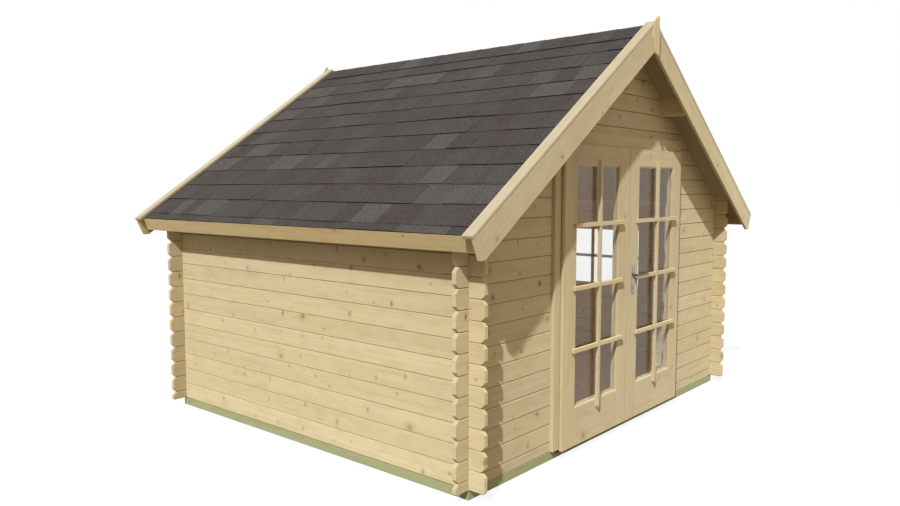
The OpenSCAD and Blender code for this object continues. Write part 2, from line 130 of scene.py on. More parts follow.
class ShaderBench:
    """Builds the nodes of one material, or of the world."""

    def __init__(self, name: str, world: bool = False) -> None:
        """Starts an empty material or world with its output node."""
        self.owner = (bpy.data.worlds if world else bpy.data.materials).new(name)
        self.owner.use_nodes = True
        self.tree = self.owner.node_tree
        self.tree.nodes.clear()
        self.output = self.tree.nodes.new("ShaderNodeOutputWorld" if world else "ShaderNodeOutputMaterial")

    def node(self, kind: str, settings: dict[str, object], inputs: dict[object, Link]) -> bpy.types.Node:
        """Adds a node.

        Args:
            kind: the node's type.
            settings: its own settings, set before its sockets.
            inputs: values or links of its sockets, by name or by place.

        Returns:
            The node.
        """
        made = self.tree.nodes.new(kind)
        for key, value in settings.items():
            setattr(made, key, value)
        for key, value in inputs.items():
            self.feed(made.inputs[key], value)
        return made

    def feed(self, socket: Socket, value: Link) -> None:
        """Links a socket to what is given, or sets it where that is plain numbers."""
        if isinstance(value, (Value, Socket)):
            self.tree.links.new(getattr(value, "socket", value), socket)
        elif socket.type == "RGBA" and len(value) == 3:
            socket.default_value = (*value, 1.0)
        else:
            socket.default_value = value

    def place(self) -> Socket:
        """The point on the object, in metres."""
        return self.node("ShaderNodeTexCoord", {}, {}).outputs["Object"]

    def measure(self, vector: Socket, direction: Point) -> Value:
        """How far a vector reaches in one direction."""
        made = self.node("ShaderNodeVectorMath", {"operation": "DOT_PRODUCT"}, {0: vector, 1: direction})
        return Value(self, made.outputs["Value"])

    def vector(self, x: Link, y: Link, z: Link) -> Socket:
        """A vector of three values."""
        return self.node("ShaderNodeCombineXYZ", {}, {0: x, 1: y, 2: z}).outputs[0]

    def luck(self, seed: Union[Value, Socket], spread: bool = False) -> tuple[Value, Value, Value]:
        """Three random numbers from 0 to 1.

        Args:
            seed: a number or, if spread is true, a vector.
            spread: whether the seed is a vector.

        Returns:
            The three numbers.
        """
        kind, socket = ("3D", "Vector") if spread else ("1D", "W")
        made = self.node("ShaderNodeTexWhiteNoise", {"noise_dimensions": kind}, {socket: seed})
        split = self.node("ShaderNodeSeparateColor", {}, {0: made.outputs["Color"]})
        return tuple(Value(self, socket) for socket in split.outputs[:3])

    def noise(self, vector: Socket, scale: float = 1.0, detail: float = 2.0) -> Value:
        """A soft noise from 0 to 1."""
        made = self.node("ShaderNodeTexNoise", {}, {"Vector": vector, "Scale": scale, "Detail": detail})
        return Value(self, made.outputs["Fac"])

    def mixed(self, amount: Link, first: Link, second: Link) -> Socket:
        """A colour between two others."""
        settings = {"data_type": "RGBA", "blend_type": "MIX"}
        return self.node("ShaderNodeMix", settings, {0: amount, 6: first, 7: second}).outputs[2]

    def dimmed(self, colour: Socket, amount: Value) -> Socket:
        """A colour made darker or lighter by a factor."""
        made = self.node("ShaderNodeVectorMath", {"operation": "SCALE"}, {0: colour, "Scale": amount})
        return made.outputs["Vector"]

    def rays(self, *kinds: str) -> Value:
        """1 for rays of these kinds, and 0 for others."""
        path = self.node("ShaderNodeLightPath", {}, {}).outputs
        return sum(Value(self, path[f"Is {kind} Ray"]) for kind in kinds)

    def bump(self, height: Value, depth: float, strength: float) -> Socket:
        """A relief of the surface; depth is in metres."""
        made = self.node("ShaderNodeBump", {}, {"Height": height, "Distance": depth, "Strength": strength})
        return made.outputs["Normal"]

    def surface(self, shader: bpy.types.Node) -> Union[Material, bpy.types.World]:
        """Ends the nodes with a shader, and returns the finished material or world."""
        self.tree.links.new(shader.outputs[0], self.output.inputs["Surface"])
        return self.owner

    def finish(self, inputs: dict[object, Link]) -> Material:
        """Ends the nodes with a principled shader that has these inputs."""
        return self.surface(self.node("ShaderNodeBsdfPrincipled", {}, inputs))


# ---- finishes


ROOF_PITCH = 34.55
COS = math.cos(math.radians(ROOF_PITCH))
SIN = math.sin(math.radians(ROOF_PITCH))


class Grain(Enum):
    """How a board lies: along its fibres, across its width and through its thickness."""

    ALONG_X = ((1, 0, 0), (0, 0, 1), (0, 1, 0))
    ALONG_Y = ((0, 1, 0), (0, 0, 1), (1, 0, 0))
    UP_FACING_Y = ((0, 0, 1), (1, 0, 0), (0, 1, 0))
    UP_FACING_X = ((0, 0, 1), (0, 1, 0), (1, 0, 0))
    FLAT_ALONG_X = ((1, 0, 0), (0, 1, 0), (0, 0, 1))
    LEFT_SLOPE = ((COS, 0, SIN), (-SIN, 0, COS), (0, 1, 0))
    RIGHT_SLOPE = ((-COS, 0, SIN), (SIN, 0, COS), (0, 1, 0))
    LEFT_SLOPE_FLAT = ((COS, 0, SIN), (0, 1, 0), (-SIN, 0, COS))
    RIGHT_SLOPE_FLAT = ((-COS, 0, SIN), (0, 1, 0), (SIN, 0, COS))


SLOPE = {-1: Grain.LEFT_SLOPE, 1: Grain.RIGHT_SLOPE}
FLAT_SLOPE = {-1: Grain.LEFT_SLOPE_FLAT, 1: Grain.RIGHT_SLOPE_FLAT}


@dataclass(frozen=True)
class Pine:
    """Planed softwood with growth lines, fibres and knots, board by board, and painted shade at the lower
    joints where that is set.
    """

    name: str
    pale: Colour = (0.822, 0.668, 0.382)
    late: Colour = (0.64, 0.458, 0.207)
    knot: Colour = (0.35, 0.180, 0.056)
    # Colour of the painted shade along each board's lower joint.
    seam: Colour = (0.100, 0.055, 0.020)
    board: float = 0.5
    phase: float = 0.0
    seed: float = 0.0
    knotty: float = 0.62
    tone_spread: float = 0.07
    growth: float = 0.0042
    stretch: float = 0.24
    knot_band: float = 0.12
    joint: float = 0.0
    roughness: float = 0.62

    def material(self, grain: Grain) -> Material:
        """Builds the wood for boards that lie one way.

        Args:
            grain: how the boards lie.

        Returns:
            The material.
        """
        bench = ShaderBench(f"{self.name}_{grain.name.lower()}")
        along_way, across_way, deep_way = grain.value
        place = bench.place()
        across = bench.measure(place, across_way)
        index = ((across - self.phase) / self.board).floor()
        luck = bench.luck(index + self.seed)
        along = bench.measure(place, along_way) + luck[0] * 17.0 + self.seed
        deep = bench.measure(place, deep_way)
        middle = (index + 0.5) * self.board + self.phase
        from_middle = across - middle
        knot, near = self._knots(bench, along, from_middle, index)
        growth = self._growth(bench, along, from_middle, deep, luck, near)
        streak, fibre, figure = (
            bench.noise(bench.vector(along * length, across * width, deep * width), 1.0, detail)
            for length, width, detail in ((0.9, 38.0, 3.0), (9.0, 650.0, 2.0), (7.0, 21.0, 3.0)))
        cloud = bench.noise(bench.vector(along * 1.1, across * 5.0, luck[1] * 30.0), 1.0, 2.0)
        amount = growth * 0.26 + streak.ramp(0.30, 0.75) * 0.17 + fibre.ramp(0.35, 0.8) * 0.18
        amount = amount + cloud.ramp(0.35, 0.75) * 0.18 + figure.ramp(0.44, 0.70) * 0.22
        colour = bench.mixed(amount, self.pale, self.late)
        colour = bench.dimmed(colour, (luck[2] - 0.5) * self.tone_spread + 1.0)
        colour = bench.mixed(near * 0.50, colour, self.late)
        colour = bench.mixed(knot, colour, self.knot)
        # Painted shade: a dark band on the downward face of the groove along each board's lower edge, with
        # the dark joint line in it.
        if self.joint:
            seam = (from_middle + self.board / 2).ramp(self.joint, self.joint * 0.4)
            colour = bench.mixed(seam * 0.90, colour, self.seam)
        relief = fibre * 0.5 + growth * 0.35 - knot * 0.3
        return bench.finish({
            "Base Color": colour,
            "Roughness": streak * 0.14 + (self.roughness - 0.07),
            "Specular IOR Level": 0.28,
            "Diffuse Roughness": 0.9,
            "Normal": bench.bump(relief, 0.0005, 0.55),
        })

    def _knots(self, bench: ShaderBench, along: Value, from_middle: Value,
               index: Value) -> tuple[Value, Value]:
        """Knots, at most one in each stretch of a board.

        Args:
            bench: the material's bench.
            along: distance along the fibres.
            from_middle: distance across, from the board's middle.
            index: the board's number.

        Returns:
            The knot itself and the wider place that its fibres bend round, each from 0 to 1.
        """
        width = min(self.board, self.knot_band)
        cell = (along / self.stretch).floor()
        chance = bench.luck(bench.vector(cell, index, self.seed + 3.0), True)
        size = bench.luck(bench.vector(index, cell, self.seed + 11.0), True)
        offset_along = along - (cell + 0.2 + chance[0] * 0.6) * self.stretch
        offset_across = from_middle - (chance[1] - 0.5) * (width * 0.78)
        radius = size[0] * size[0] * 0.0110 + 0.0042
        wobble = bench.noise(bench.vector(along * 110.0, from_middle * 110.0, index), 1.0, 2.0) * 1.1 + 0.45
        longer = size[2] * size[2] * 2.4 + 0.45
        distance = (offset_along * offset_along * longer + offset_across * offset_across * 0.8).root()
        distance = distance * wobble / radius
        chosen = chance[2].over(1.0 - self.knotty)
        core = distance.ramp(1.25, 0.55) * (size[1] * size[1] * 0.50 + 0.42) * chosen
        return core, distance.ramp(3.2, 0.9) * chosen

    def _growth(self, bench: ShaderBench, along: Value, from_middle: Value, deep: Value,
                luck: Sequence[Value], near: Value) -> Value:
        """Growth lines: rings round a heart that wanders slowly along the board.

        Args:
            bench: the material's bench.
            along: distance along the fibres.
            from_middle: distance across, from the board's middle.
            deep: distance through the board.
            luck: the board's random numbers.
            near: how near a knot is.

        Returns:
            Late wood, from 0 to 1.
        """
        sway = bench.noise(bench.vector(along * 0.55, from_middle * 4.0, deep * 4.0), 1.0, 2.0)
        heart_across = from_middle + (luck[1] - 0.5) * 0.09 + sway * 0.05 - 0.025
        heart_deep = deep.part() * 0.10 + luck[2] * 0.05 + 0.012
        radius = (heart_across * heart_across + heart_deep * heart_deep).root() + near * 0.006
        return (radius / self.growth).part() ** 2.4


@dataclass(frozen=True)
class Granules:
    """Bitumen roofing strewn with mineral granules, each tab with a tone of its own."""

    name: str = "bitumen_shingle"
    dark: Colour = (0.061, 0.047, 0.0400)
    pale: Colour = (0.118, 0.099, 0.084)
    speck: Colour = (0.19, 0.160, 0.137)

    def material(self) -> Material:
        """Builds the roofing; the pieces' tone attribute sets each tab's tone, and a negative tone paints
        shade on the cut edges.
        """
        bench = ShaderBench(self.name)
        place = bench.place()
        tone = Value(bench, bench.node("ShaderNodeAttribute", {"attribute_name": "tone"}, {}).outputs["Fac"])
        fine = bench.noise(place, 420.0, 2.0)
        grit = bench.noise(place, 120.0, 3.0)
        patch = bench.noise(place, 5.5, 3.0)
        amount = tone * 0.8 + patch.ramp(0.3, 0.7) * 0.2 - 0.04
        colour = bench.mixed(amount, self.dark, self.pale)
        colour = bench.dimmed(colour, (grit - 0.5) * 2.0 + 1.0)
        colour = bench.mixed(grit.ramp(0.58, 0.72) * fine.ramp(0.40, 0.62) * 0.55, colour, self.speck)
        # Painted shade: faces with a negative tone, the tabs' and ridge caps' cut edges, are darkened as if
        # shadowed in the gap under the shingles above.
        colour = bench.dimmed(colour, 1.0 - tone.ramp(-0.2, -0.8) * 0.75)
        return bench.finish({
            "Base Color": colour,
            "Roughness": 0.93,
            "Specular IOR Level": 0.18,
            "Normal": bench.bump(fine * 0.6 + grit * 0.5, 0.0022, 0.8),
        })


@dataclass(frozen=True)
class BrushedSteel:
    """Satin steel with fine lines along one way."""

    name: str = "satin_steel"
    colour: Colour = (0.36, 0.365, 0.38)
    brush: Point = (1800.0, 1800.0, 40.0)

    def material(self) -> Material:
        """Builds the steel."""
        bench = ShaderBench(self.name)
        inputs = {0: bench.place(), 1: self.brush}
        drawn = bench.node("ShaderNodeVectorMath", {"operation": "MULTIPLY"}, inputs)
        lines = bench.noise(drawn.outputs["Vector"])
        return bench.finish({
            "Base Color": self.colour,
            "Metallic": 1.0,
            "Roughness": lines * 0.16 + 0.24,
            "Normal": bench.bump(lines, 0.00005, 0.4),
        })


@dataclass(frozen=True)
class ShadowGapBlack:
    """A near-black matt finish for the strip that stands in for the shadow gap under the door leaves: painted
    shade.
    """

    name: str = "shadow_gap_black"
    colour: Colour = (0.024, 0.025, 0.028)

    def material(self) -> Material:
        """Builds the near-black finish of the painted shadow strip."""
        bench = ShaderBench(self.name)
        return bench.finish({"Base Color": self.colour, "Roughness": 0.55, "Specular IOR Level": 0.3})


@dataclass(frozen=True)
class ClearPane:
    """Clear sheet glass: it lets light straight through and mirrors more at a slant."""

    name: str = "clear_pane"
    tint: Colour = (0.975, 0.98, 0.975)
    mirror: float = 0.037

    def material(self) -> Material:
        """Builds the glass."""
        bench = ShaderBench(self.name)
        facing = bench.node("ShaderNodeLayerWeight", {}, {"Blend": 0.5}).outputs["Facing"]
        slant = Value(bench, facing) ** 5.0 * (0.5 - self.mirror) + self.mirror
        through = bench.node("ShaderNodeBsdfTransparent", {}, {"Color": self.tint}).outputs[0]
        mirror = bench.node("ShaderNodeBsdfGlossy", {}, {"Color": WHITE, "Roughness": 0.02}).outputs[0]
        return bench.surface(bench.node("ShaderNodeMixShader", {}, {0: slant, 1: through, 2: mirror}))


Finish = Union[Granules, BrushedSteel, ShadowGapBlack, ClearPane]
# Painted reflection: the handles' steel is a darker copy of the satin steel, standing in for the dark
# surroundings that real steel would mirror.
DARK_REFLECTION_STEEL = BrushedSteel("steel_dimmed_for_reflections", (0.17, 0.165, 0.165))


@lru_cache(maxsize=None)
def wood(pine: Pine, grain: Grain) -> Material:
    """The material of one wood for boards that lie one way, made once."""
    return pine.material(grain)


@lru_cache(maxsize=None)
def coat(finish: Finish) -> Material:
    """The material of a finish that has no grain, made once."""
    return finish.material()


# ---- places from the frame, and the woods


def low(node: str) -> Vector:
    """Lowest corner of a node's box."""
    return Vector(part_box(node)[0])


def high(node: str) -> Vector:
    """Highest corner of a node's box."""
    return Vector(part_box(node)[1])


BEAM_TOP = high("foundation_ends").z
RIDGE = high("roof_boards_left").z
LOG_PITCH = 0.114
ROOF_BOARD = 0.0962
FLOOR_BOARD = 0.1143
LOG_THICK = high("left_wall").x - low("left_wall").x
HALF_WIDTH = -low("left_wall").x

LOG_LOOKS = {"board": LOG_PITCH, "joint": 0.0052}
TRIM_LOOKS = {"board": 0.7, "phase": -0.35, "tone_spread": 0.05, "knotty": 0.45}
SIDE_LOG = Pine("side_log", phase=BEAM_TOP, seed=3.0, **LOG_LOOKS)
END_LOG = Pine("end_log", phase=BEAM_TOP + LOG_PITCH / 2, seed=41.0, **LOG_LOOKS)
TRIM = Pine("trim_pine", seed=17.0, **TRIM_LOOKS)
CAP = Pine("cap_pine", pale=(0.69, 0.580, 0.37), late=(0.53, 0.392, 0.20), seed=19.0, **TRIM_LOOKS)
FASCIA = Pine("fascia_pine", pale=(0.755, 0.550, 0.262), late=(0.58, 0.372, 0.142), seed=23.0, **TRIM_LOOKS)
ROOF_PINE = Pine("roof_board", pale=(0.63, 0.505, 0.275), late=(0.465, 0.33, 0.142), board=ROOF_BOARD,
                 phase=-1.595, seed=57.0, knotty=0.40)
FLOOR_PINE = Pine("floor_board", board=FLOOR_BOARD, phase=-1.372, seed=83.0, knotty=0.40)
DOOR = Pine("door_pine", pale=(0.795, 0.642, 0.368), late=(0.61, 0.434, 0.198), board=0.20, phase=0.003,
            seed=29.0, tone_spread=0.07, knotty=0.34)
BAR = Pine("bar_pine", board=0.25, phase=-0.02, seed=67.0, tone_spread=0.05, knotty=0.12)
TREATED = Pine("treated_pine", pale=(0.50, 0.475, 0.232), late=(0.35, 0.33, 0.14), knot=(0.16, 0.13, 0.05),
               board=0.9, phase=-2.0, seed=5.0)


# ---- the workbench


def clear() -> None:
    """Leaves nothing selected."""
    if bpy.context.mode != "OBJECT":
        bpy.ops.object.mode_set(mode="OBJECT")
    bpy.ops.object.select_all(action="DESELECT")


def take(piece: Object) -> None:
    """Selects one piece alone and makes it the active one."""
    clear()
    piece.select_set(True)
    bpy.context.view_layer.objects.active = piece


def edit(piece: Object, kind: str, choose: Callable) -> int:
    """Enters edit mode with chosen faces or edges selected.

    Args:
        piece: the piece.
        kind: FACE or EDGE.
        choose: tells whether a face or an edge is selected.

    Returns:
        How many were selected.
    """
    take(piece)
    bpy.ops.object.mode_set(mode="EDIT")
    bpy.ops.mesh.select_mode(type=kind)
    bpy.ops.mesh.select_all(action="DESELECT")
    shape = bmesh.from_edit_mesh(piece.data)
    parts = shape.faces if kind == "FACE" else shape.edges
    chosen = [part for part in parts if choose(part)]
    for part in chosen:
        part.select_set(True)
    shape.select_flush_mode()
    bmesh.update_edit_mesh(piece.data)
    return len(chosen)


def on_faces(piece: Object, *steps: Callable) -> None:
    """Takes some steps in edit mode, with every face selected."""
    edit(piece, "FACE", lambda face: True)
    for step in steps:
        step()
    bpy.ops.object.mode_set(mode="OBJECT")


def divide(piece: Object, place: Point, way: Point) -> None:
    """Divides a piece's faces along a plane, without cutting anything off."""
    on_faces(piece, lambda: bpy.ops.mesh.bisect(plane_co=place, plane_no=way))


def bevel(piece: Object, choose: Callable, width: float, segments: int = 1) -> Object:
    """Cuts back the chosen edges: at a slant with one segment, or else round."""
    if edit(piece, "EDGE", choose):
        bpy.ops.mesh.bevel(offset=width, segments=segments, affect="EDGES", clamp_overlap=True,
                           loop_slide=True)
    bpy.ops.object.mode_set(mode="OBJECT")
    return piece


def ease(piece: Object, width: float, segments: int = 2, sharper_than: float = 35.0) -> Object:
    """Rounds every outward edge that is sharper than an angle."""
    limit = math.radians(sharper_than)

    def sharp(edge: Edge) -> bool:
        """True for an outward edge over the limit."""
        return edge.is_manifold and edge.is_convex and edge.calc_face_angle(0.0) > limit

    return bevel(piece, sharp, width, segments)


def named(name: str) -> Object:
    """Names the active piece and its mesh."""
    piece = bpy.context.active_object
    piece.name = name
    piece.data.name = name
    return piece


def settled(name: str) -> Object:
    """Names the active piece, with its place and size in its mesh."""
    bpy.ops.object.transform_apply(location=True, rotation=True, scale=True)
    return named(name)


def block(name: str, start: Sequence[float], end: Sequence[float]) -> Object:
    """A block between two corners."""
    clear()
    start, end = Vector(start), Vector(end)
    bpy.ops.mesh.primitive_cube_add(size=1.0, location=(start + end) / 2)
    bpy.context.active_object.scale = end - start
    return settled(name)


def rod(name: str, centre: Sequence[float], axis: str, radius: float, length: float, width: float,
        segments: int = 2) -> Object:
    """A round rod along x or y with eased rims, whose middle is at centre."""
    clear()
    turn = {"x": (0, math.pi / 2, 0), "y": (math.pi / 2, 0, 0)}[axis]
    bpy.ops.mesh.primitive_cylinder_add(vertices=32, radius=radius, depth=length, location=centre,
                                        rotation=turn)
    return ease(settled(name), width, segments, SQUARE_ONLY)


def board(name: str, start: Sequence[float], end: Sequence[float], width: float = 0.002) -> Object:
    """A planed board with eased edges."""
    return ease(block(name, start, end), width)


def joined(name: str, parts: Sequence[Object]) -> Object:
    """Joins parts into one piece."""
    take(parts[0])
    for part in parts[1:]:
        part.select_set(True)
    if len(parts) > 1:
        bpy.ops.object.join()
    return named(name)


def array(piece: Object, count: int, step: Sequence[float]) -> Object:
    """Repeats a piece at a fixed step."""
    take(piece)
    repeat = piece.modifiers.new("repeat", "ARRAY")
    repeat.count = count
    repeat.use_relative_offset = False
    repeat.use_constant_offset = True
    repeat.constant_offset_displace = step
    bpy.ops.object.modifier_apply(modifier=repeat.name)
    return piece


def copied(source: Object) -> Object:
    """A copy of an object with a mesh of its own."""
    piece = source.copy()
    piece.data = source.data.copy()
    bpy.context.collection.objects.link(piece)
    return piece


def from_node(node: str, width: float, segments: int = 2, sharper_than: float = 40.0) -> Object:
    """A copy of a node's solid with eased edges, which stands for the node.

    Args:
        node: the node's name.
        width: width of the eased edge, or 0 to leave the edges sharp.
        segments: how many faces round the edge.
        sharper_than: only edges over this angle are eased.

    Returns:
        The copy.
    """
    piece = copied(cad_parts[node])
    piece.name = f"{node}_eased"
    piece.data.name = piece.name
    for key in list(piece.keys()):
        del piece[key]
    piece.hide_render = False
    on_faces(piece, lambda: bpy.ops.mesh.remove_doubles(threshold=2 * NEAR),
             lambda: bpy.ops.mesh.dissolve_limited(angle_limit=math.radians(0.5)))
    if width:
        ease(piece, width, segments, sharper_than)
    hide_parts(node)
    return piece


def smooth(piece: Object, angle: float) -> None:
    """Shades a piece smooth, but for its sharp edges."""
    take(piece)
    bpy.ops.object.shade_smooth_by_angle(angle=math.radians(angle))


def dress(piece: Object, finish: Material, body: str = CABIN_BODY) -> Object:
    """Gives a piece its finish, as its one material slot, and its body."""
    piece.data.materials.clear()
    piece.data.materials.append(finish)
    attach(piece, body)
    return piece


def eased(nodes: Iterable[str], pine: Pine, grain: Grain, width: float, segments: int = 2,
          sharper_than: float = 40.0) -> list[Object]:
    """Wooden pieces that stand for fixed nodes, with eased edges."""
    return [dress(from_node(node, width, segments, sharper_than), wood(pine, grain)) for node in nodes]


def dress_node(node: str, finish: Material) -> None:
    """Gives a node that stays its finish."""
    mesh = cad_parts[node].data
    mesh.materials.clear()
    mesh.materials.append(finish)


# ---- sub-assemblies


@dataclass
class Walls:
    """The interlocking log walls and the purlins that run through the gables."""

    edge: float = 0.0018
    purlin_edge: float = 0.010
    side_parts: tuple[str, ...] = ("left_wall", "right_wall_front", "right_wall_rear",
                                   "right_wall_below_window", "right_wall_over_window")
    end_parts: tuple[str, ...] = ("rear_wall", "front_wall_left", "front_wall_right",
                                  "front_wall_over_door", "front_gable")
    purlins: tuple[str, ...] = ("purlin_left", "purlin_right", "ridge_purlin")

    def build(self) -> list[Object]:
        """Eases and dresses every wall part and purlin."""
        made = []
        for parts, pine, grain, edge in (
            (self.side_parts, SIDE_LOG, Grain.ALONG_Y, self.edge),
            (self.end_parts, END_LOG, Grain.ALONG_X, self.edge),
            (self.purlins, TRIM, Grain.ALONG_Y, self.purlin_edge),
        ):
            made.extend(eased(parts, pine, grain, edge, 2, SQUARE_ONLY))
        return made


@dataclass
class Base:
    """Foundation beams, joists and the floor's boards."""

    edge: float = 0.003
    board_edge: float = 0.0015
    board_gap: float = 0.0012

    def build(self) -> list[Object]:
        """Builds the base."""
        made = []
        for nodes, grain in ((["foundation_ends"], Grain.ALONG_X),
                             (["foundation_sides", "floor_joists"], Grain.ALONG_Y)):
            made.extend(eased(nodes, TREATED, grain, self.edge))
        return [*made, self._floor()]

    def _floor(self) -> Object:
        """Floor boards side by side, from the front wall to the rear wall."""
        start, end = low("floor_deck"), high("floor_deck")
        count = round((end.y - start.y) / FLOOR_BOARD)
        step = (end.y - start.y) / count
        first = board("floor_boards", start, (end.x, start.y + step - self.board_gap, end.z),
                      self.board_edge)
        piece = array(first, count, (0, step, 0))
        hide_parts("floor_deck")
        return dress(piece, wood(FLOOR_PINE, Grain.FLAT_ALONG_X))


@dataclass
class Roof:
    """Roof boards, shingles in overlapping courses, ridge caps and the trim round the roof."""

    course: float = 0.1874
    first_course: float = 0.064
    least_course: float = 0.6
    lap: float = 0.05
    tab_least: float = 0.13
    tab_most: float = 0.30
    last_tab: float = 0.078
    thin: float = 0.0030
    thick: float = 0.0072
    film: float = 0.0002
    slip: float = 0.0015
    wave: float = 0.0028
    curl: float = 0.0005
    pale_share: float = 0.12
    pale_tones: Span = (0.75, 1.0)
    plain_tones: Span = (0.14, 0.46)
    ridge_count: int = 16
    ridge_lap: float = 1.3
    ridge_lift: float = 0.0075
    ridge_fall: float = 0.0025
    ridge_thick: float = 0.0028
    board_gap: float = 0.0012
    board_edge: float = 0.0022
    edge: float = 0.002
    seam_edge: float = 0.0035
    finial_fall: float = 0.016
    finial_point: float = 0.026
    finial_edge: float = 0.0015
    # Tone of the cut edges: a negative tone that paints shade along each course's foot.
    cut_edge_shade_tone: float = -1.0
    chance: random.Random = field(default_factory=lambda: random.Random(7))

    def build(self) -> list[Object]:
        """Builds both slopes and the trim."""
        made = []
        for side in (-1, 1):
            made.append(self._boards(side))
            made.append(self._shingles(side))
        return [*made, self._ridge_caps(), *self._trim(), self._finials()]

    def _down(self, side: int, distance: float, lift: float, y: float) -> Vector:
        """A point on a slope.

        Args:
            side: -1 on the left, 1 on the right.
            distance: how far down the slope it is from the ridge.
            lift: how far over the top of the roof boards it is.
            y: its place in the depth.

        Returns:
            The point.
        """
        x = distance * COS + lift * SIN
        return Vector((side * x, y, RIDGE - distance * SIN + lift * COS))

    def _boards(self, side: int) -> Object:
        """Roof boards from ridge to eave, side by side along the depth."""
        node = f"roof_boards_{SIDE_WORD[side]}"
        start, end = low(node).y, high(node).y
        count = round((end - start) / ROOF_BOARD)
        step = (end - start) / count
        piece = from_node(node, 0.0)
        shrink = (step - self.board_gap) / (end - start)
        piece.data.transform(Matrix.Translation((0, start, 0)) @ Matrix.Diagonal((1, shrink, 1, 1))
                             @ Matrix.Translation((0, -start, 0)))
        ease(piece, self.board_edge, 1)
        array(piece, count, (0, step, 0))
        return dress(piece, wood(ROOF_PINE, FLAT_SLOPE[side]))

    def _pattern(self, cuts: Sequence[tuple[Point, Point]]) -> Object:
        """A block, 1 m each way, to copy for a shingle.

        Args:
            cuts: places and directions of the planes that divide its faces.

        Returns:
            The block: its x runs down the slope, its y along the depth and its z away from the roof.
        """
        piece = block("shingle", (0, 0, 0), (1, 1, 1))
        for place, way in cuts:
            divide(piece, place, way)
        return piece

    def _laid(self, pattern: Object, place: Callable, cut: Callable) -> Object:
        """Copies the block to its place on the roof, with a tone on each face.

        Args:
            pattern: the block.
            place: gives the place on the roof of each of the block's points.
            cut: tells from its direction whether a face of the block is a cut edge.

        Returns:
            The shingle: most are alike, a few are pale, and cut edges are darkened with painted shade.
        """
        pale = self.chance.random() < self.pale_share
        shade = self.chance.uniform(*(self.pale_tones if pale else self.plain_tones))
        piece = copied(pattern)
        tone = piece.data.attributes.new("tone", "FLOAT", "FACE")
        for face in pattern.data.polygons:
            tone.data[face.index].value = self.cut_edge_shade_tone if cut(face.normal) else shade
        for vert in piece.data.vertices:
            vert.co = place(vert.co.copy())
        return piece

    def _roofing(self, name: str, node: str, pattern: Object, shingles: Sequence[Object]) -> Object:
        """Joins shingles into the piece that stands for a node."""
        piece = joined(name, shingles)
        bpy.data.objects.remove(pattern)
        on_faces(piece, lambda: bpy.ops.mesh.normals_make_consistent(inside=False))
        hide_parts(node)
        return dress(piece, coat(Granules()))

    def _shingles(self, side: int) -> Object:
        """One slope's courses of shingles, laid from the eave to the ridge."""
        node = f"shingles_{SIDE_WORD[side]}"
        start, end = low(node), high(node)
        pattern = self._pattern([((0, place / 4, 0), (0, 1, 0)) for place in (1, 2, 3)])
        foot = max(-start.x, end.x) / COS
        number = 0
        laid = []
        while foot > self.course * self.least_course:
            reach = self.course if number else self.first_course
            top = max(foot - reach - self.lap, 0.0)
            y = start.y
            while y < end.y - NEAR:
                width = self.chance.uniform(self.tab_least, self.tab_most)
                stop = end.y if end.y - y - width < self.last_tab else y + width
                laid.append(self._tab(pattern, side, (top, foot), (y, stop), number))
                y = stop
            foot = foot - reach
            number = number + 1
        return self._roofing(f"{node}_laid", node, pattern, laid)

    def _tab(self, pattern: Object, side: int, span: Span, width: Span, number: int) -> Object:
        """Lays one tab: a thin wedge whose foot lies on the course below it.

        Args:
            pattern: the block to copy.
            side: -1 on the left, 1 on the right.
            span: distances of its upper and lower edges from the ridge.
            width: where it starts and ends in the depth.
            number: its course's number, from the eave.

        Returns:
            The tab.
        """
        thick = self.chance.uniform(self.thin, self.thick)
        slip = self.chance.uniform(-self.slip, self.slip) if number else 0.0
        under = 6 * self.film if number else self.film

        def place(point: Vector) -> Vector:
            """Bends the block to the tab's wedge, with a wavy foot."""
            y = width[0] + (width[1] - width[0]) * point.y
            wave = self.wave * (math.sin(y * 2.3 + number * 1.7) + 0.5 * math.sin(y * 7.1 + number * 4.1))
            foot = span[1] + slip + (wave if number else 0.0)
            down = span[0] + (foot - span[0]) * point.x
            lift = self.film + 3 * self.film * point.z
            if point.x > 0.5:
                lift = under + self.curl * (1.0 + math.sin(y * 5.0 + number * 2.6)) + thick * point.z
            return self._down(side, down, lift, y)

        return self._laid(pattern, place, lambda way: way.x > 0.9)

    def _ridge_caps(self) -> Object:
        """Shingles folded over the ridge, each lapping the next."""
        start, end = low("ridge_shingles"), high("ridge_shingles")
        reach = end.x / COS
        step = (end.y - start.y) / self.ridge_count
        pattern = self._pattern([((0.5, 0, 0), (1, 0, 0))])
        laid = []
        for number in range(self.ridge_count):
            front = start.y + number * step
            rear = min(front + step * self.ridge_lap, end.y)

            def place(point: Vector) -> Vector:
                """Folds the block over the ridge; its front edge lies on the cap before it."""
                lift = self.ridge_lift - self.ridge_fall * point.y + self.ridge_thick * point.z
                y = front + (rear - front) * point.y
                if abs(point.x - 0.5) > 0.25:
                    return self._down(-1 if point.x < 0.5 else 1, reach, lift, y)
                return Vector((0.0, y, RIDGE + lift / COS))

            laid.append(self._laid(pattern, place, lambda way: abs(way.x) > 0.9))
        return self._roofing("ridge_caps", "ridge_shingles", pattern, laid)

    def _trim(self) -> list[Object]:
        """Barge boards, cap strips and fascias with eased edges."""
        made = []
        for end in ("front", "rear"):
            for side, word in SIDE_WORD.items():
                for name, pine, grain in (("barge", TRIM, SLOPE[side]), ("cap", CAP, FLAT_SLOPE[side])):
                    made += eased([f"{name}_{end}_{word}"], pine, grain, self.seam_edge, 3)
        fascias = [f"fascia_{word}" for word in SIDE_WORD.values()]
        return made + eased(fascias, FASCIA, Grain.ALONG_Y, self.edge)

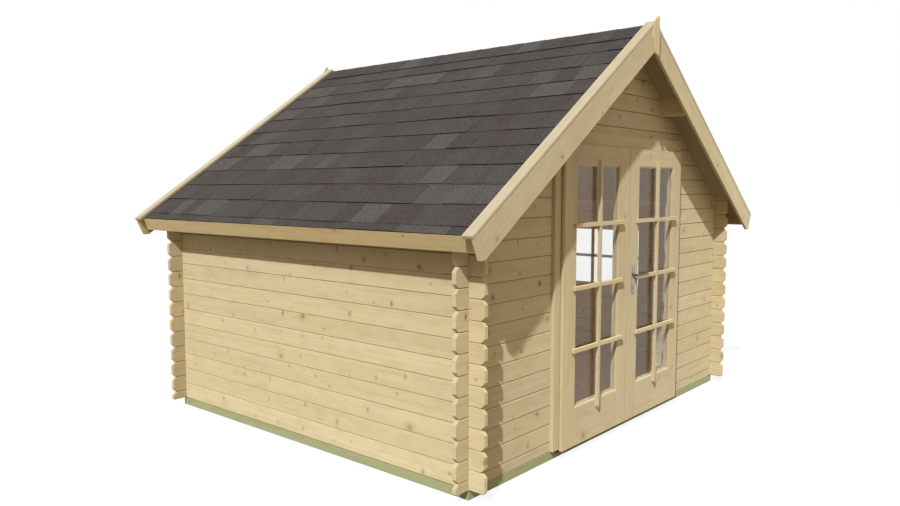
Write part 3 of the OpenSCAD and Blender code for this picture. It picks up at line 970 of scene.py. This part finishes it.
    def _finials(self) -> Object:
        """The finials: their faces fall away from an upright ridge and their feet come to a point."""
        piece = from_node("finials", 0.0)
        divide(piece, (0, 0, 0), (1, 0, 0))
        front, rear, foot = low("finials").y, high("finials").y, low("finials").z
        for vert in piece.data.vertices:
            if abs(vert.co.x) < NEAR:
                continue
            if abs(vert.co.y - front) < NEAR:
                vert.co.y = front + self.finial_fall
            elif abs(vert.co.y - rear) < NEAR:
                vert.co.y = rear - self.finial_fall
            if abs(vert.co.z - foot) < NEAR:
                vert.co.z = foot + self.finial_point
        piece.data.update()
        ease(piece, self.finial_edge, 2, 40.0)
        return dress(piece, wood(TRIM, Grain.UP_FACING_Y))


@dataclass
class Doorway:
    """The door frame, its casing and the pivot plates."""

    edge: float = 0.002
    plate_edge: float = 0.0006

    def build(self) -> list[Object]:
        """Builds the fixed part of the doorway."""
        made = []
        for nodes, grain in ((["door_jamb_left", "door_jamb_right"], Grain.UP_FACING_Y),
                             (["door_head"], Grain.ALONG_X), (["door_threshold"], Grain.FLAT_ALONG_X)):
            made.extend(eased(nodes, DOOR, grain, self.edge))
        plates = from_node("pivot_plates", self.plate_edge)
        return [*made, dress(plates, coat(BrushedSteel()))]


@dataclass
class DoorLeaf:
    """One glazed leaf: stiles and rails, mouldings and glazing bars on its face, and a near-black strip of
    painted shade along its foot.
    """

    side: int
    moulding: float = 0.012
    bar: float = 0.027
    proud: float = 0.019
    sunk: float = 0.001
    rail_lap: float = 0.040
    top_lap: float = 0.033
    foot_lap: float = 0.051
    bar_middle: float = 1.041
    bar_step: float = 0.385
    edge: float = 0.0016
    bar_edge: float = 0.0015
    level_edge: float = 0.002
    bar_point: float = 0.42
    bead_rim: float = 0.002
    skin: float = 0.021
    rebate: float = 0.003
    # The near-black strip along the leaf's foot is painted shade: it stands in for the shadow gap under the
    # leaf.
    strip: float = 0.0065
    strip_proud: float = 0.0008
    word: str = field(init=False)
    start: Vector = field(init=False)
    end: Vector = field(init=False)
    pane_start: Vector = field(init=False)
    pane_end: Vector = field(init=False)

    def __post_init__(self) -> None:
        """Reads the leaf's box and its glass's; x is the distance from the cabin's middle."""
        self.word = SIDE_WORD[self.side]
        self.start, self.end = self._box(f"door_leaf_{self.word}")
        self.pane_start, self.pane_end = self._box(f"door_glass_{self.word}")

    def _box(self, node: str) -> tuple[Vector, Vector]:
        """A node's box with x as the distance from the cabin's middle."""
        corners = (low(node), high(node))
        near, far = sorted(abs(corner.x) for corner in corners)
        return Vector((near, *corners[0][1:])), Vector((far, *corners[1][1:]))

    def build(self) -> list[Object]:
        """Builds the leaf's pieces."""
        body = f"{self.word}_leaf"
        stiles, rails = self._timber()
        upright, level = self._upright_bar(), self._level_bars()
        made = []
        for name, parts, grain, pine in (
            ("stiles", stiles, Grain.UP_FACING_Y, DOOR),
            ("rails", rails, Grain.ALONG_X, DOOR),
            ("beads", self._beads(), Grain.ALONG_X, BAR),
            ("upright_bars", [upright], Grain.UP_FACING_Y, BAR),
            ("level_bars", level, Grain.ALONG_X, BAR),
        ):
            piece = joined(f"{body}_{name}", parts)
            made.append(dress(piece, wood(pine, grain), body))
        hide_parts(f"door_leaf_{self.word}")
        # Painted shade: a near-black strip along the leaf's foot, in place of the shadow gap under it.
        face, foot = self.start.y, self.start.z
        strip = self._part((self.start.x, self.end.x), (face - self.strip_proud, face + self.skin),
                           (foot - 5 * HAIR, foot + self.strip), self.strip_proud, f"{body}_foot_strip")
        dress_node(f"door_glass_{self.word}", coat(ClearPane()))
        return [*made, dress(strip, coat(ShadowGapBlack()), body)]

    def _ends(self, x: Span, y: Span, z: Span) -> tuple[Point, Point]:
        """The corners of a part between two distances from the middle, two depths and two heights."""
        near, far = sorted(self.side * distance for distance in x)
        return (near, y[0], z[0]), (far, y[1], z[1])

    def _part(self, x: Span, y: Span, z: Span, edge: Optional[float] = None, name: str = "part") -> Object:
        """A board of the leaf."""
        return board(name, *self._ends(x, y, z), edge or self.edge)

    def _timber(self) -> tuple[list[Object], list[Object]]:
        """Stiles and rails, each with a front layer that laps the casing and a core in the frame."""
        start, end, pane_start, pane_end = self.start, self.end, self.pane_start, self.pane_end
        seam = start.y + self.skin
        core_end = abs(high("door_jamb_left").x) - self.rebate
        core_foot = high("door_threshold").z + self.rebate
        core_head = low("door_head").z - self.rebate
        stiles, rails = [], []
        for y, far, foot, head in (((start.y, seam), end.x, start.z, end.z),
                                   ((seam, end.y), core_end, core_foot, core_head)):
            stiles.append(self._part((start.x, pane_start.x), y, (foot, head)))
            stiles.append(self._part((pane_end.x, far), y, (foot, head)))
            rails.append(self._part((pane_start.x, pane_end.x), y, (foot, pane_start.z)))
            rails.append(self._part((pane_start.x, pane_end.x), y, (pane_end.z, head)))
        return stiles, rails

    def _beads(self) -> list[Object]:
        """Beads over and under the glass: cut at a slant in front of it, and square behind it."""
        x = (self.pane_start.x, self.pane_end.x)
        front = (self.start.y + self.sunk, self.pane_start.y)
        back = (self.pane_end.y, self.end.y - self.sunk)
        foot, head = self.pane_start.z, self.pane_end.z
        made = []
        for z, free_z in (((foot, foot + self.moulding), foot + self.moulding),
                          ((head - self.moulding, head), head - self.moulding)):

            def free(edge: Edge) -> bool:
                """True for the front edge that is away from the timber."""
                return all(abs(vert.co.y - front[0]) < NEAR and abs(vert.co.z - free_z) < NEAR
                           for vert in edge.verts)

            slanted = block("bead", *self._ends(x, front, z))
            made.append(bevel(slanted, free, min(self.moulding, front[1] - front[0]) - self.bead_rim))
            made.append(self._part(x, back, z))
        return made

    def _upright_bar(self) -> Object:
        """The upright bar on the leaf's face, whose foot ends in a point."""
        middle, face = (self.pane_start.x + self.pane_end.x) / 2, self.start.y
        foot = self.pane_start.z - self.foot_lap
        piece = block("bar", *self._ends((middle - self.bar / 2, middle + self.bar / 2),
                                         (face - self.proud, face - HAIR),
                                         (foot, self.pane_end.z + self.top_lap)))

        def at_foot(edge: Edge) -> bool:
            """True for the two foot edges that run through the depth."""
            ends = [vert.co for vert in edge.verts]
            return all(abs(end.z - foot) < NEAR for end in ends) and abs(ends[0].y - ends[1].y) > NEAR

        bevel(piece, at_foot, self.bar * self.bar_point)
        return ease(piece, self.bar_edge)

    def _level_bars(self) -> list[Object]:
        """The level bars on the leaf's face; they lap over the stiles."""
        x = (self.pane_start.x - self.rail_lap, self.pane_end.x + self.rail_lap)
        y = (self.start.y - self.proud - 6 * HAIR, self.start.y - HAIR)
        heights = [self.bar_middle + self.bar_step * place for place in (-1, 0, 1)]
        return [self._part(x, y, (z - self.bar / 2, z + self.bar / 2), self.level_edge) for z in heights]


@dataclass
class LeverSet:
    """Lever handles inside and outside on long plates, with a keyhole cylinder below."""

    plate_round: float = 0.006
    plate_edge: float = 0.0011
    grip: float = 0.0085
    grip_tip: float = 0.004
    bend: float = 0.016
    bend_steps: int = 6
    rose: float = 0.0125
    rose_depth: float = 0.0068
    rose_middle: float = 0.0035
    cylinder: float = 0.0085
    cylinder_depth: float = 0.004
    cylinder_middle: float = 0.001
    stem_middle: float = 0.0014
    cylinder_down: float = 0.078
    stem: Point = (0.005, 0.001, 0.024)

    def build(self) -> list[Object]:
        """Builds the plates on the right leaf and the lever on its own body."""
        start, end = low("lock_plates"), high("lock_plates")
        leaf_front, leaf_back = low("door_leaf_right").y, high("door_leaf_right").y
        lever_start, lever_end = low("door_lever"), high("door_lever")
        x = (start.x + end.x) / 2
        z = (lever_start.z + lever_end.z) / 2
        radius = (lever_end.z - lever_start.z) / 2
        plates, handles = [], []
        for way, plate, grip_y in ((-1, (start.y, leaf_front), lever_start.y + radius),
                                   (1, (leaf_back, end.y), lever_end.y - radius)):
            face = plate[0] if way < 0 else plate[1]
            plates.append(self._plate((start.x, plate[0], start.z), (end.x, plate[1], end.z)))
            plates.extend(self._cylinder(x, face, z - self.cylinder_down, way))
            handles.append(self._handle(Vector((x, face, z)), grip_y, lever_end.x, way))
        made = []
        for name, parts, angle, node, finish, body in (
            ("lever_plates", plates, 35.0, "lock_plates", BrushedSteel(), "right_leaf"),
            ("lever_handles", handles, 50.0, "door_lever", DARK_REFLECTION_STEEL, "lever"),
        ):
            piece = joined(name, parts)
            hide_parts(node)
            smooth(piece, angle)
            made.append(dress(piece, coat(finish), body))
        return made

    def _plate(self, start: Point, end: Point) -> Object:
        """A plate with rounded corners and a softened rim."""
        piece = block("plate", start, end)
        bevel(piece, lambda edge: abs(edge.verts[0].co.y - edge.verts[1].co.y) > NEAR,
              self.plate_round, 5)
        return ease(piece, self.plate_edge, 2, SQUARE_ONLY)

    def _cylinder(self, x: float, y: float, z: float, way: int) -> list[Object]:
        """A keyhole cylinder that stands a little proud of the plate, with its stem below."""
        body = rod("cylinder", (x, y + way * self.cylinder_middle, z), "y", self.cylinder,
                   self.cylinder_depth, 6 * HAIR)
        y = y + way * self.stem_middle
        half, depth, length = self.stem
        stem = board("stem", (x - half, y - depth, z - length), (x + half, y + depth, z), 4 * HAIR)
        return [body, stem]

    def _handle(self, spindle: Vector, grip_y: float, tip_x: float, way: int) -> Object:
        """One handle: a rose, a neck and a grip that turns off it in a round bend.

        Args:
            spindle: where the spindle leaves the plate's face.
            grip_y: the grip's middle line.
            tip_x: the end of the grip.
            way: -1 outside, 1 inside.

        Returns:
            The handle.
        """
        x, y, z = spindle
        rose = rod("rose", (x, y + way * self.rose_middle, z), "y", self.rose, self.rose_depth,
                   15 * HAIR)
        path = [spindle]
        for place in range(self.bend_steps + 1):
            angle = math.pi / 2 * place / self.bend_steps
            path.append(Vector((x + self.bend * (1 - math.cos(angle)),
                                grip_y - way * self.bend * (1 - math.sin(angle)), z)))
        path.append(Vector((tip_x - self.grip_tip, grip_y, z)))
        clear()
        curve = bpy.data.curves.new("grip", "CURVE")
        curve.dimensions = "3D"
        curve.bevel_depth = self.grip
        curve.bevel_resolution = 6
        curve.use_fill_caps = True
        line = curve.splines.new("POLY")
        line.points.add(len(path) - 1)
        for point, place in zip(line.points, path):
            point.co = (*place, 1.0)
        grip = bpy.data.objects.new("grip", curve)
        bpy.context.collection.objects.link(grip)
        take(grip)
        bpy.ops.object.convert(target="MESH")
        grip = bpy.context.active_object
        cap_x = tip_x - self.grip_tip / 2 - 5 * HAIR
        cap = rod("cap", (cap_x, grip_y, z), "x", self.grip, self.grip_tip, 18 * HAIR, 3)
        return joined("handle", [rose, grip, cap])


@dataclass
class SideWindow:
    """The window in the right wall: casings, linings, sash, glazing bars and glass."""

    bar: float = 0.025
    bar_proud: float = 0.018
    bar_lap: float = 0.028
    bar_edge: float = 0.0015
    edge: float = 0.002

    def build(self) -> list[Object]:
        """Builds the window."""
        frame_start, frame_end = low("window_frame"), high("window_frame")
        sash = (low("window_sash"), high("window_sash"))
        glass = (low("window_glass"), high("window_glass"))
        casing = sash[0].y - frame_start.y
        jamb = sash[0].y - high("right_wall_front").y
        inside = HALF_WIDTH - LOG_THICK
        frame_parts = ([], [])
        for x, reach in (((HALF_WIDTH, frame_end.x), casing), ((inside, HALF_WIDTH), jamb),
                         ((frame_start.x, inside), casing)):
            rim = Vector((0, reach, reach))
            for parts, boards in zip(frame_parts, self._surround(x, sash, (sash[0] - rim, sash[1] + rim))):
                parts.extend(boards)
        sash_parts = self._surround((sash[0].x, sash[1].x), glass, sash)
        made = []
        for node, word, (uprights, levels), pine in (
            ("window_frame", "uprights", frame_parts, TRIM),
            ("window_sash", "stiles", sash_parts, DOOR),
        ):
            upright = joined(f"{node}_{word}", uprights)
            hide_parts(node)
            made.append(dress(upright, wood(pine, Grain.UP_FACING_X)))
            level = joined(f"{node}_rails", levels)
            made.append(dress(level, wood(pine, Grain.ALONG_Y)))
        dress_node("window_glass", coat(ClearPane()))
        return made + self._bars(sash[1].x, glass)

    def _surround(self, x: Span, hole: tuple[Vector, Vector],
                  rim: tuple[Vector, Vector]) -> tuple[list[Object], list[Object]]:
        """Boards round an opening.

        Args:
            x: their two x places.
            hole: low and high corners of the opening.
            rim: low and high corners of the boards' outline.

        Returns:
            The upright boards and the level ones.
        """
        uprights = [board("upright", (x[0], y0, rim[0].z), (x[1], y1, rim[1].z), self.edge)
                    for y0, y1 in ((rim[0].y, hole[0].y), (hole[1].y, rim[1].y))]
        levels = [board("level", (x[0], hole[0].y, z0), (x[1], hole[1].y, z1), self.edge)
                  for z0, z1 in ((rim[0].z, hole[0].z), (hole[1].z, rim[1].z))]
        return uprights, levels

    def _bars(self, face: float, glass: tuple[Vector, Vector]) -> list[Object]:
        """A cross of glazing bars on the sash's outer face."""
        half, lap = self.bar / 2, self.bar_lap
        middle = (glass[0] + glass[1]) / 2
        x = (face + HAIR, face + self.bar_proud)
        upright = board("window_upright_bar", (x[0], middle.y - half, glass[0].z - lap),
                        (x[1], middle.y + half, glass[1].z + lap), self.bar_edge)
        level = board("window_level_bar", (x[0], glass[0].y - lap, middle.z - half),
                      (x[1] + 6 * HAIR, glass[1].y + lap, middle.z + half), self.bar_edge)
        return [dress(upright, wood(BAR, Grain.UP_FACING_X)),
                dress(level, wood(BAR, Grain.ALONG_Y))]


# ---- stage


@dataclass
class Stage:
    """A pale floor, a soft sky, a low sun, two soft lamps and the camera."""

    sun: float = 2.5
    sun_place: Point = (-6.0, -3.0, 6.0)
    sun_way: Point = (0.664, 0.251, -0.704)
    sun_spread: float = 1.1
    sun_tint: Colour = (0.94, 1.06, 1.25)
    sky: float = 0.43
    sky_tint: Colour = (1.0, 0.905, 0.775)
    fill: float = 50.0
    fill_place: Point = (1.0, -10.0, 2.2)
    fill_target: Point = (0.0, 0.0, 1.0)
    fill_size: float = 7.0
    inside: float = 7.5
    inside_place: Point = (0.2, 0.1, 1.35)
    inside_size: float = 0.45
    floor_size: float = 120.0
    floor_glow: float = 1.10
    floor_share: float = 0.80
    floor_far: Colour = (0.22, 0.21, 0.19)
    floor_seen: Colour = (0.80, 0.80, 0.80)
    lens: float = 30.46
    eye: Point = (-4.6896, -3.8581, 1.6616)
    tilt: float = 85.0
    pan: float = -49.6

    def build(self) -> None:
        """Builds the stage."""
        self._camera()
        self._lights()
        self._sky()
        self._floor()
        bpy.context.scene.view_settings.view_transform = "Standard"

    def _camera(self) -> None:
        """The camera at the viewing angle."""
        clear()
        bpy.ops.object.camera_add(
            location=self.eye, rotation=(math.radians(self.tilt), 0.0, math.radians(self.pan)))
        camera = bpy.context.active_object
        camera.data.lens = self.lens
        camera.data.sensor_width = 36.0
        camera.data.clip_end = 300.0
        bpy.context.scene.camera = camera

    def _light(self, kind: str, place: Point, way: Vector, energy: float, tint: Colour) -> Object:
        """Adds one light that shines one way."""
        clear()
        bpy.ops.object.light_add(type=kind, location=place)
        lamp = bpy.context.active_object
        lamp.rotation_euler = way.to_track_quat("-Z", "Y").to_euler()
        lamp.data.energy = energy
        lamp.data.color = tint
        return lamp

    def _lights(self) -> None:
        """The sun from the left, a large soft light before the door, and a soft lamp in the room."""
        sun = self._light("SUN", self.sun_place, Vector(self.sun_way), self.sun, self.sun_tint)
        sun.data.angle = math.radians(self.sun_spread)
        way = Vector(self.fill_target) - Vector(self.fill_place)
        front = self._light("AREA", self.fill_place, way, self.fill, self.sky_tint)
        front.data.shape = "DISK"
        front.data.size = self.fill_size
        room = self._light("POINT", self.inside_place, Vector((0, 0, -1)), self.inside, self.sky_tint)
        room.data.shadow_soft_size = self.inside_size
        room.visible_camera = False
        room.visible_glossy = False

    def _sky(self) -> None:
        """A soft sky that looks white to the camera and in glass and metal."""
        bench = ShaderBench("soft_sky", True)
        seen = bench.rays("Camera", "Glossy", "Transmission")
        soft = bench.node("ShaderNodeBackground", {}, {"Color": self.sky_tint, "Strength": self.sky})
        white = bench.node("ShaderNodeBackground", {}, {"Color": WHITE, "Strength": 1.0})
        mix = bench.node("ShaderNodeMixShader", {}, {0: seen, 1: soft.outputs[0], 2: white.outputs[0]})
        bpy.context.scene.world = bench.surface(mix)

    def _floor(self) -> None:
        """A pale floor that keeps a light shadow of the cabin."""
        clear()
        bpy.ops.mesh.primitive_plane_add(size=self.floor_size)
        floor = bpy.context.active_object
        floor.name = "floor"
        bench = ShaderBench("pale_floor")
        shade = bench.mixed(bench.rays("Camera"), self.floor_far, self.floor_seen)
        matt = bench.node("ShaderNodeBsdfDiffuse", {}, {"Color": shade}).outputs[0]
        glow = {"Color": WHITE, "Strength": self.floor_glow}
        white = bench.node("ShaderNodeEmission", {}, glow).outputs[0]
        seen = bench.rays("Camera", "Glossy") * self.floor_share
        mix = bench.node("ShaderNodeMixShader", {}, {0: seen, 1: matt, 2: white})
        floor.data.materials.append(bench.surface(mix))


# ---- the whole


def main() -> None:
    """Builds the cabin's looks and its stage."""
    logging.basicConfig(level=logging.INFO, format="%(message)s")
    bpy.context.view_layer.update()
    Stage().build()
    for assembly in (Walls(), Base(), Roof(), Doorway(), DoorLeaf(-1), DoorLeaf(1), LeverSet(), SideWindow()):
        for piece in assembly.build():
            LOG.info("%s: %s, %d faces", type(assembly).__name__, piece.name, len(piece.data.polygons))


if __name__ == "__main__":
    main()
